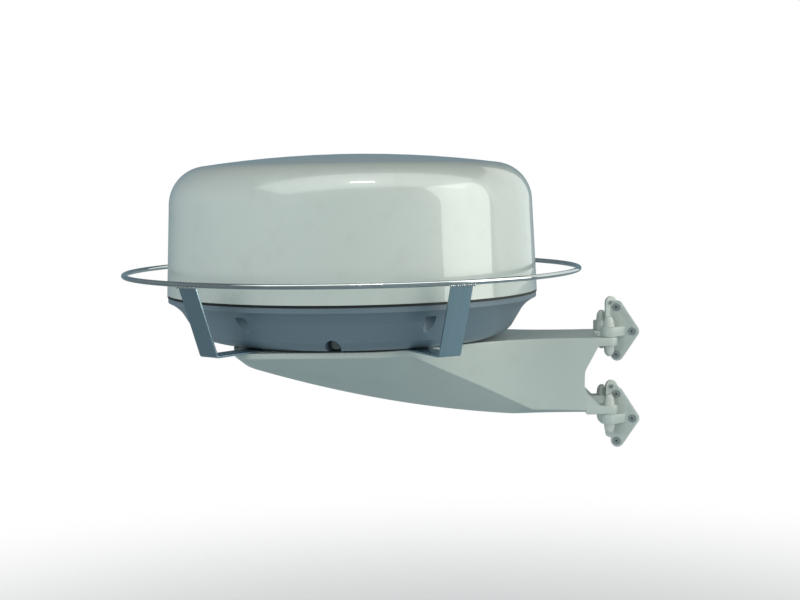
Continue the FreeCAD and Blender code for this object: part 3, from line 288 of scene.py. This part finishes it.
CAP_WHITE = (0.73, 0.79, 0.735)
BASE_GREY = (0.18, 0.245, 0.295)
COAT_WHITE = (0.66, 0.72, 0.675)
BASE_DUST = (0.20, 0.245, 0.27)
LONG_GRAIN = -(STRAP_ANGLE + DOME_TURN)
HALVES_GRAIN = STRAP_ANGLE - DOME_TURN - math.pi
SHEET_STEEL = (0.38, 0.50, 0.56)
MATERIALS = {
    "cap_gelcoat": painted("cap_gelcoat", CAP_WHITE, (0.60, 0.64, 0.58), 0.32, 0.02, 0.00012, 0.9, 0.035),
    "base_gelcoat": painted("base_gelcoat", BASE_GREY, BASE_DUST, 0.42, 0.0012, 0.00003, 0.15, 0.2),
    "powder_coat": painted("powder_coat", COAT_WHITE, (0.55, 0.59, 0.54), 0.42, 0.0025, 0.00006, 0.12, 0.2),
    "black_rubber": polymer("black_rubber", (0.012, 0.013, 0.013), 0.55, 1500.0, 0.00004),
    "stainless": metal("stainless", (0.60, 0.61, 0.60), 0.26, 1800.0, 0.00003),
    "polished_stainless": metal("polished_stainless", (0.50, 0.54, 0.55), 0.045, 90.0, 0.00003, 0.5),
    "stainless_sheet": brushed("stainless_sheet", SHEET_STEEL, 0.27, LONG_GRAIN),
    "stainless_sheet_halves": brushed("stainless_sheet_halves", SHEET_STEEL, 0.27, HALVES_GRAIN),
    "white_plastic": polymer("white_plastic", (0.76, 0.80, 0.75), 0.34, 900.0, 0.00003, 0.15),
    "light_plastic": polymer("light_plastic", (0.46, 0.49, 0.47), 0.4, 1200.0, 0.00004),
    "black_plastic": polymer("black_plastic", (0.02, 0.021, 0.023), 0.42, 1400.0, 0.00004),
    "rivet_alloy": metal("rivet_alloy", (0.50, 0.55, 0.54), 0.36, 2200.0, 0.00003, metallic=0.7),
    "sheet_alloy": metal("sheet_alloy", (0.66, 0.67, 0.68), 0.36, 1600.0, 0.00004),
    "cast_alloy": metal("cast_alloy", (0.50, 0.51, 0.52), 0.5, 700.0, 0.00015),
    "bearing_steel": metal("bearing_steel", (0.63, 0.63, 0.64), 0.16, 2500.0, 0.00002),
    "brass": metal("brass", (0.72, 0.53, 0.24), 0.3, 1600.0, 0.00003),
    "copper": metal("copper", (0.76, 0.38, 0.24), 0.3, 1500.0, 0.00003),
    "ferrite": metal("ferrite", (0.06, 0.06, 0.065), 0.55, 900.0, 0.0001, metallic=0.4),
    "circuit_board": board("circuit_board"),
    "motor_black": polymer("motor_black", (0.025, 0.026, 0.028), 0.45, 1000.0, 0.00006),
    "gear_nylon": polymer("gear_nylon", (0.66, 0.63, 0.54), 0.4, 1100.0, 0.00004, 0.2),
}


def dress_nodes():
    """Give every CAD node the material its slot names."""
    for row in frame["record"]["subparts"]:
        node = nodes[row["node"]]
        look = "stainless_sheet_halves" if row["node"] == "guard_strap_halves" else row["material_slot"]
        node.data.materials.clear()
        node.data.materials.append(MATERIALS[look])


# ---------------------------------------------------------------- light and floor

def softbox(name, azimuth, elevation, distance, width, height, radiance, colour, seen="both"):
    """A rectangular light aimed at the dome; azimuth runs from -Y towards +X, in degrees."""
    data = bpy.data.lights.new(name, "AREA")
    data.shape = "RECTANGLE"
    data.size = width
    data.size_y = height
    data.color = colour
    data.energy = radiance * math.pi * width * height
    light = bpy.data.objects.new(name, data)
    a, e = math.radians(azimuth), math.radians(elevation)
    away = Vector((math.sin(a) * math.cos(e), -math.cos(a) * math.cos(e), math.sin(e)))
    light.location = DOME_CENTRE + away * distance
    light.rotation_mode = "QUATERNION"
    light.rotation_quaternion = (-away).to_track_quat("-Z", "Y")
    light.visible_camera = False
    light.visible_diffuse = seen != "glossy"
    light.visible_glossy = seen != "diffuse"
    bpy.context.scene.collection.objects.link(light)


def make_lights():
    softbox("overhead_panel", 15, 50, 2.4, 2.6, 2.0, 0.24, (0.97, 1.0, 0.97), "diffuse")
    softbox("overhead_glow", 20, 66, 2.6, 6.5, 2.0, 2.0, (0.97, 1.0, 0.96), "glossy")
    softbox("front_fill", -58, 8, 2.9, 3.2, 1.8, 1.7, (0.97, 0.995, 1.0), "diffuse")
    softbox("side_fill", 48, 8, 2.4, 1.8, 1.6, 1.75, (1.0, 1.0, 0.95), "diffuse")
    softbox("side_panel", 74.5, 17, 2.2, 1.5, 1.75, 3.6, (1.0, 1.0, 0.92), "glossy")
    softbox("side_panel_rear", 123, 17, 2.2, 2.2, 1.75, 0.9, (1.0, 1.0, 0.92), "glossy")
    softbox("streak_panel", 13, 58, 2.0, 0.4, 0.12, 26.0, (1.0, 1.0, 0.98), "glossy")


def make_world():
    """White to the camera; soft room light, dark and bluish low down and behind, to everything else."""
    world = bpy.data.worlds.new("studio")
    bpy.context.scene.world = world
    world.use_nodes = True
    graph = Graph(world.node_tree)
    background = world.node_tree.nodes["Background"]
    split = graph.add("SeparateXYZ")
    graph.link(graph.add("TexCoord").outputs["Generated"], split.inputs["Vector"])
    across, depth, height = split.outputs
    side = graph.mix(graph.span(across, -0.9, 0.9, 0.0, 1.0), (0.30, 0.36, 0.40), (0.52, 0.55, 0.50))
    side = graph.mix(graph.span(depth, 0.35, 0.8, 0.0, 1.0), side, (0.17, 0.25, 0.30))
    above = graph.mix(graph.span(height, 0.15, 0.6, 0.0, 1.0), side, (0.20, 0.22, 0.22))
    below = graph.mix(graph.span(across, -0.7, 0.7, 0.0, 1.0), (0.20, 0.25, 0.27), (0.34, 0.43, 0.46))
    room = graph.mix(graph.span(height, -0.12, 0.04, 0.0, 1.0), below, above)
    ray = graph.add("LightPath")
    seen = graph.mix(ray.outputs["Is Camera Ray"], room, (1.0, 1.0, 1.0))
    graph.link(seen, background.inputs["Color"])


def make_floor():
    """A pale round floor under the object that fades out into the white surround."""
    mesh = bpy.data.meshes.new("floor")
    work = bmesh.new()
    bmesh.ops.create_circle(work, cap_ends=True, segments=128, radius=3.2)
    work.to_mesh(mesh)
    work.free()
    floor = bpy.data.objects.new("floor", mesh)
    floor.location = (DOME_X + 0.15, 0.1, FLOOR_Z)
    bpy.context.scene.collection.objects.link(floor)
    material, graph, shader = new_material("floor_paper")
    shader.inputs["Roughness"].default_value = 0.8
    shader.inputs["Emission Color"].default_value = (1.0, 1.0, 1.0, 1.0)
    shader.inputs["Emission Strength"].default_value = 0.22
    place = graph.position()
    fibre = graph.noise(place, 60.0, 4.0)
    graph.link(graph.mix(fibre, (0.86, 0.87, 0.87), (0.90, 0.90, 0.90)), shader.inputs["Base Color"])
    length = graph.add("VectorMath", operation="LENGTH")
    graph.link(place, length.inputs[0])
    fade = graph.add("MapRange", interpolation_type="SMOOTHSTEP")
    fade.inputs["From Min"].default_value = 0.7
    fade.inputs["From Max"].default_value = 2.9
    graph.link(length.outputs["Value"], fade.inputs["Value"])
    clear = graph.add("BsdfTransparent")
    blend = graph.add("MixShader")
    output = graph.tree.nodes["Material Output"]
    graph.link(fade.outputs["Result"], blend.inputs["Fac"])
    graph.link(shader.outputs["BSDF"], blend.inputs[1])
    graph.link(clear.outputs["BSDF"], blend.inputs[2])
    graph.link(blend.outputs["Shader"], output.inputs["Surface"])
    mesh.materials.append(material)
    floor.visible_diffuse = False
    floor.visible_glossy = False


# ---------------------------------------------------------------- mesh helpers

def piece(name, mesh, slot, body="mount_frame", replaces=(), look=None):
    """Put a mesh in the scene as a finished piece; look names a material other than the slot's own."""
    obj = bpy.data.objects.new(name, mesh)
    bpy.context.scene.collection.objects.link(obj)
    mesh.materials.clear()
    mesh.materials.append(MATERIALS[look or slot])
    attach(obj, body)
    if replaces:
        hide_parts(*replaces)
    return obj


def loop_faces(rings, close_ends=True):
    """Vertices and faces of a skin drawn through equal closed rings of points."""
    count = len(rings[0])
    points = [point for ring in rings for point in ring]
    faces = []
    for row in range(len(rings) - 1):
        for index in range(count):
            after = (index + 1) % count
            low, high = row * count, (row + 1) * count
            faces.append((low + index, low + after, high + after, high + index))
    if close_ends:
        faces.append(tuple(reversed(range(count))))
        faces.append(tuple(range((len(rings) - 1) * count, len(rings) * count)))
    return points, faces


def skin(name, rings):
    """A closed mesh through the rings, facing outwards."""
    mesh = bpy.data.meshes.new(name)
    points, faces = loop_faces(rings)
    mesh.from_pydata(points, [], faces)
    work = bmesh.new()
    work.from_mesh(mesh)
    bmesh.ops.recalc_face_normals(work, faces=work.faces)
    work.to_mesh(mesh)
    work.free()
    return mesh


def rounded_outline(corners, steps=4):
    """A closed flat outline whose corners (x, y, radius) are turned into arcs."""
    outline = []
    total = len(corners)
    for index, (x, y, radius) in enumerate(corners):
        here = Vector((x, y))
        before = Vector(corners[index - 1][:2]) - here
        after = Vector(corners[(index + 1) % total][:2]) - here
        first, last = before.normalized(), after.normalized()
        half = first.angle(last) / 2
        setback = min(radius / math.tan(half), before.length * 0.45, after.length * 0.45)
        start, end = here + first * setback, here + last * setback
        for step in range(steps + 1):
            part = step / steps
            blend = start.lerp(here, part).lerp(here.lerp(end, part), part)
            outline.append((blend.x, blend.y))
    return outline


def prism(name, outline, low, high, edge, place):
    """An upright block with the outline and softened top and bottom edges; place maps (x, y, z)."""
    centre = sum((Vector(point) for point in outline), Vector((0, 0))) / len(outline)
    rings = []
    levels = [(low, edge), (low + edge * 0.3, edge * 0.3), (low + edge, 0.0)]
    levels += [(high - edge, 0.0), (high - edge * 0.3, edge * 0.3), (high, edge)]
    for z, inset in levels:
        ring = []
        for point in outline:
            away = Vector(point) - centre
            pulled = centre + away * (1 - inset / max(away.length, edge * 2))
            ring.append(place(pulled.x, pulled.y, z))
        rings.append(ring)
    return skin(name, rings)


def round_outline(x, y, radius, count=40):
    turns = (2 * math.pi * index / count for index in range(count))
    return [(x + radius * math.cos(turn), y + radius * math.sin(turn)) for turn in turns]


def combine(base, tools):
    """Run boolean steps on a mesh and hand back the finished mesh; tools are (operation, mesh)."""
    holder = bpy.data.objects.new("boolean_base", base)
    bpy.context.scene.collection.objects.link(holder)
    helpers = []
    for operation, mesh in tools:
        helper = bpy.data.objects.new("boolean_tool", mesh)
        bpy.context.scene.collection.objects.link(helper)
        step = holder.modifiers.new("step", "BOOLEAN")
        step.operation = operation
        step.solver = "EXACT"
        step.object = helper
        helpers.append(helper)
    graph = bpy.context.evaluated_depsgraph_get()
    finished = bpy.data.meshes.new_from_object(holder.evaluated_get(graph))
    for obj in (holder, *helpers):
        bpy.data.objects.remove(obj)
    return finished


def smooth_by_angle(mesh, angle):
    mesh.shade_smooth()
    mesh.set_sharp_from_angle(angle=math.radians(angle))


# ---------------------------------------------------------------- bracket

PLATE_TOP = 0.0625
LUG_THICK = 0.014
LUG_RADIUS = 0.0136
PIN_X = -0.0457
PIN_Y = 0.0545
HULL_START = 0.062
HULL_END = 0.652
WALL = 0.005
STUD_HALF_X = 0.073
STUD_HALF_Y = 0.1145
LUG_ROOT_X = -0.084
PIN_BORE = 0.00405
GLAND_OFFSET = 0.120
CABLE_WAY = 0.027
BOSS_RADIUS = 0.013
BOSS_DEPTH = 0.024
THREAD_RADIUS = 0.005
THREAD_DEPTH = 0.022


def hull_section(x):
    """Half widths and heights of the rim, crease and keel at one place along the arm."""
    widened = max(0.0, min(1.0, (x - 0.110) / (0.440 - 0.110)))
    spread = (1 - math.cos(math.pi * widened ** 1.25)) / 2
    rounded = max(0.0, (x - 0.600) / (HULL_END + 0.0002 - 0.600))
    top_half = (0.068 + (0.226 - 0.068) * spread) * math.sqrt(1 - rounded ** 3)
    beyond = x - 0.172
    slope = 0.55 if beyond > 0 else 0.55 / 14
    rim_z = PLATE_TOP - LUG_THICK + (LUG_THICK - 0.0083) * widened
    chine_z = min(rim_z - 0.002, -0.053 + slope * beyond)
    inset = 0.004 * max(0.0, min(1.0, (chine_z - 0.020) / 0.025))
    rise = max(0.0, (x - 0.190) / 0.280)
    nose = max(0.0, (x - 0.620) / (HULL_END - 0.620))
    keel_z = -0.0625 + 0.0347 * rise ** 1.75 + 0.008 * nose ** 3
    keel_half = 0.028 + 0.030 * math.exp(-beyond / 0.090) if beyond > 0 else 0.058 - beyond * 0.04
    keel_half = min(keel_half, top_half * 0.6)
    return top_half, rim_z, top_half - inset, chine_z, keel_half, keel_z


def hull_ring(x, inside):
    """Section of the casting, with cast radii on its edges, or of the hollow inside it."""
    top_half, rim, chine_half, chine_z, keel_half, keel_z = hull_section(x)
    top, wall, edge = PLATE_TOP, 0.0, 0.0016
    if inside:
        wall, edge = WALL, 0.003
        top -= 0.008
        rim = top - 0.001
        chine_z = min(rim - 0.001, chine_z + wall * 0.8)
        keel_z += wall
        keel_half -= wall * 0.4
    half = [
        (top_half - wall, top, edge),
        (top_half - wall, rim, edge),
        (chine_half - wall, chine_z, edge * 2.2),
        (keel_half, keel_z, edge * 1.8),
    ]
    corners = [(-y, z, r) for y, z, r in half] + [(y, z, r) for y, z, r in reversed(half)]
    return [(-x, y, z) for y, z in rounded_outline(corners)]


def hull_stations(end, count=110):
    """Places along the arm, closer together towards the rounded outer end."""
    span = end - HULL_START
    return [HULL_START + span * math.sin(math.pi / 2 * step / count) for step in range(count + 1)]


def bracket_mesh():
    outer = skin("hull", [hull_ring(x, False) for x in hull_stations(HULL_END)])
    inner_rings = [hull_ring(x, True) for x in hull_stations(HULL_END - 0.012)]
    mouth = [(x + 0.04, y, z) for x, y, z in inner_rings[0]]
    steps = [("DIFFERENCE", skin("hollow", [mouth] + inner_rings))]
    upright = lambda x, y, z: (x, y, z)
    for low in (PLATE_TOP - LUG_THICK, -PLATE_TOP):
        for side in (-1, 1):
            y = PIN_Y * side
            outline = [(LUG_ROOT_X, y - LUG_RADIUS), (PIN_X, y - LUG_RADIUS)]
            for step in range(1, 16):
                turn = -math.pi / 2 + math.pi * step / 16
                outline.append((PIN_X + LUG_RADIUS * math.cos(turn), y + LUG_RADIUS * math.sin(turn)))
            outline += [(PIN_X, y + LUG_RADIUS), (LUG_ROOT_X, y + LUG_RADIUS)]
            steps.append(("UNION", prism("lug", outline, low, low + LUG_THICK, 0.0014, upright)))
            bore = round_outline(PIN_X, y, PIN_BORE)
            steps.append(("DIFFERENCE", prism("bore", bore, low - 0.01, low + 0.03, 0.0001, upright)))
    scoop = rounded_outline(
        [
            (-0.030, 0.0485, 0.0),
            (-0.064, 0.0485, 0.002),
            (-0.086, 0.008, 0.026),
            (-0.087, -0.023, 0.026),
            (-0.062, -0.0485, 0.002),
            (-0.030, -0.0485, 0.0),
        ],
        8,
    )
    across = lambda x, y, z: (x, z, y)
    steps.append(("DIFFERENCE", prism("scoop", scoop, -0.15, 0.15, 0.0001, across)))
    gland = Vector((DOME_X, 0.0)) + GLAND_OFFSET * Vector((math.cos(DOME_TURN), math.sin(DOME_TURN)))
    way = round_outline(gland.x, gland.y, CABLE_WAY, 64)
    low, high = PLATE_TOP - 0.02, PLATE_TOP + 0.01
    steps.append(("DIFFERENCE", prism("cable_way", way, low, high, 0.0001, upright)))
    for side_x, side_y in ((-1, -1), (-1, 1), (1, -1), (1, 1)):
        local = Vector((STUD_HALF_X * side_x, STUD_HALF_Y * side_y))
        x = DOME_X + local.x * math.cos(DOME_TURN) - local.y * math.sin(DOME_TURN)
        y = local.x * math.sin(DOME_TURN) + local.y * math.cos(DOME_TURN)
        boss = round_outline(x, y, BOSS_RADIUS)
        low, high = PLATE_TOP - BOSS_DEPTH, PLATE_TOP - 0.002
        steps.append(("UNION", prism("boss", boss, low, high, 0.0003, upright)))
        thread = round_outline(x, y, THREAD_RADIUS, 24)
        low, high = PLATE_TOP - THREAD_DEPTH, PLATE_TOP + 0.002
        steps.append(("DIFFERENCE", prism("thread", thread, low, high, 0.0001, upright)))
    return combine(outer, steps)


def make_bracket():
    mesh = bracket_mesh()
    smooth_by_angle(mesh, 28)
    piece("bracket_casting", mesh, "powder_coat", replaces=("bracket_arm",))


# ---------------------------------------------------------------- feet, guard

def rounded_copy(node_name, name, radius, slot, body="mount_frame", look=None):
    """A copy of a CAD node with every sharp edge rounded over, standing in for that node."""
    source = nodes[node_name]
    work = bmesh.new()
    work.from_mesh(source.data)
    work.transform(source.matrix_world)
    bmesh.ops.remove_doubles(work, verts=work.verts, dist=0.000002)
    bmesh.ops.dissolve_limit(work, angle_limit=math.radians(0.3), verts=work.verts, edges=work.edges)
    sharp = [edge for edge in work.edges if len(edge.link_faces) == 2]
    sharp = [edge for edge in sharp if edge.calc_face_angle(0.0) > math.radians(32)]
    bmesh.ops.bevel(
        work, geom=sharp, offset=radius, segments=3, profile=0.5, affect="EDGES", clamp_overlap=True
    )
    mesh = bpy.data.meshes.new(name)
    work.to_mesh(mesh)
    work.free()
    smooth_by_angle(mesh, 35)
    return piece(name, mesh, slot, body, (node_name,), look)


def make_feet():
    for level in ("upper", "lower"):
        for side in ("near", "far"):
            foot = f"{level}_{side}"
            rounded_copy(f"foot_{foot}", f"foot_casting_{foot}", 0.0011, "powder_coat", f"{foot}_foot_set")


def weld_bead(centre, along, half, radius, seed):
    """A short row of overlapping weld drops, each a little different in size."""
    work = bmesh.new()
    count = 12
    for index in range(count):
        part = index / (count - 1) * 2 - 1
        size = radius * (0.9 + 0.2 * math.sin(seed + index * 2.4))
        drop = bmesh.ops.create_icosphere(work, subdivisions=2, radius=size)
        shift = centre + along * (half * part)
        bmesh.ops.translate(work, vec=shift, verts=drop["verts"])
    mesh = bpy.data.meshes.new("weld")
    work.to_mesh(mesh)
    work.free()
    mesh.shade_smooth()
    return mesh


def make_guard():
    rounded_copy("guard_strap_long", "guard_strap_long_sheet", 0.0004, "stainless_sheet")
    rounded_copy(
        "guard_strap_halves", "guard_strap_halves_sheet", 0.0004, "stainless_sheet",
        look="stainless_sheet_halves",
    )
    leg_angles = (-STRAP_ANGLE, STRAP_ANGLE, math.pi + STRAP_ANGLE, math.pi - STRAP_ANGLE)
    for index, angle in enumerate(leg_angles):
        turn = DOME_TURN + angle
        out = Vector((math.cos(turn), math.sin(turn), 0.0))
        along = Vector((-out.y, out.x, 0.0))
        centre = Vector((DOME_X, 0.0, RING_Z - RING_ROD - 0.0002)) + out * (RING_RADIUS + 0.0016)
        mesh = weld_bead(centre, along, 0.0195, 0.0019, index)
        piece(f"ring_weld_{index + 1}", mesh, "stainless")


bpy.context.scene.view_settings.view_transform = "Standard"
make_camera()
make_world()
make_lights()
make_floor()
dress_nodes()
make_bracket()
make_feet()
make_guard()
